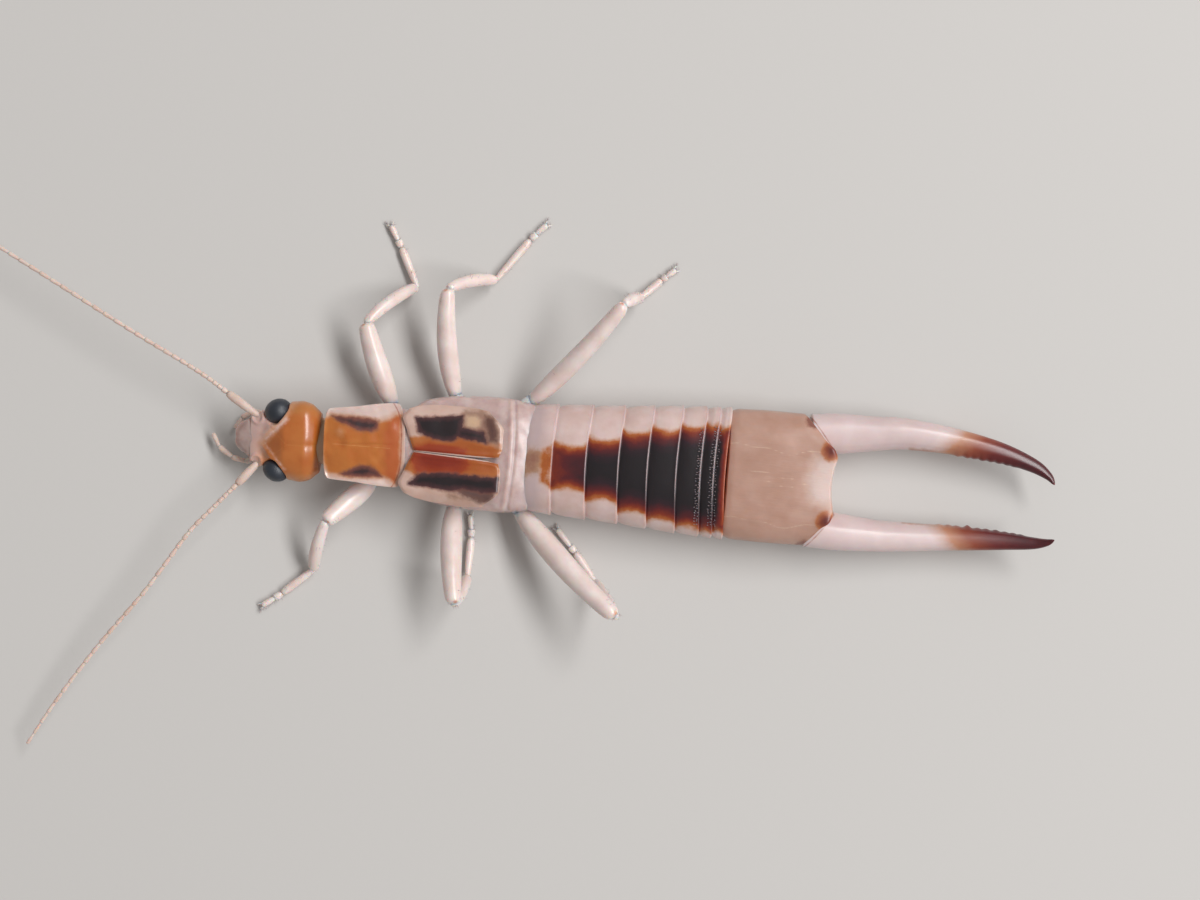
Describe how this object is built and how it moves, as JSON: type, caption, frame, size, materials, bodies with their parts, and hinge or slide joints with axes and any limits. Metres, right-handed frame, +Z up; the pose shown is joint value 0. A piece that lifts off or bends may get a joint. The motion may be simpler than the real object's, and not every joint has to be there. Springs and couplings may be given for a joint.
{
  "type": "earwig",
  "caption": "Male earwig standing at rest: flat jointed body, short wing cases, bent legs, long feelers and a pair of curved tail forceps with toothed inner edges.",
  "frame": {"origin": "on the floor, under the middle of the animal's bounding box", "axes": "+X along the body from the head to the tail forceps, +Y to the animal's right side, +Z up"},
  "size_m": [0.0474, 0.024, 0.0035],
  "materials": {
    "head": "smooth glossy orange cuticle",
    "eye": "black compound eye with fine facets",
    "mouthparts": "translucent pinkish cuticle",
    "antenna": "pale cuticle with very short down",
    "pronotum": "thin orange plate with clear margins and two dark patches",
    "elytron": "leathery wing case, orange-red with a dark stripe",
    "thorax": "soft pale cuticle",
    "abdomen": "glossy plates, near black along the back and pale at the sides",
    "last_segment": "smooth pinkish tan plate",
    "forceps": "hard glossy cuticle, pinkish white at the root and dark red at the tip",
    "leg": "translucent cream cuticle"
  },
  "bodies": {
    "root": {"head": "head", "eye_left": "eye", "eye_right": "eye", "labrum": "mouthparts", "palp_left": "mouthparts", "palp_right": "mouthparts", "antenna_left_scape": "antenna", "antenna_left_flagellum": "antenna", "antenna_right_scape": "antenna", "antenna_right_flagellum": "antenna", "neck": "thorax", "prothorax": "thorax", "pronotum": "pronotum", "thorax": "thorax", "elytron_left": "elytron", "elytron_right": "elytron", "abdomen": "abdomen", "last_segment": "last_segment", "forceps_left": "forceps", "forceps_right": "forceps", "leg_front_left_coxa": "leg", "leg_front_left_femur": "leg", "leg_front_left_tibia": "leg", "leg_front_left_tarsus": "leg", "leg_front_right_coxa": "leg", "leg_front_right_femur": "leg", "leg_front_right_tibia": "leg", "leg_front_right_tarsus": "leg", "leg_mid_left_coxa": "leg", "leg_mid_left_femur": "leg", "leg_mid_left_tibia": "leg", "leg_mid_left_tarsus": "leg", "leg_mid_right_coxa": "leg", "leg_mid_right_femur": "leg", "leg_mid_right_tibia": "leg", "leg_mid_right_tarsus": "leg", "leg_hind_left_coxa": "leg", "leg_hind_left_femur": "leg", "leg_hind_left_tibia": "leg", "leg_hind_left_tarsus": "leg", "leg_hind_right_coxa": "leg", "leg_hind_right_femur": "leg", "leg_hind_right_tibia": "leg", "leg_hind_right_tarsus": "leg"}
  },
  "joints": []
}
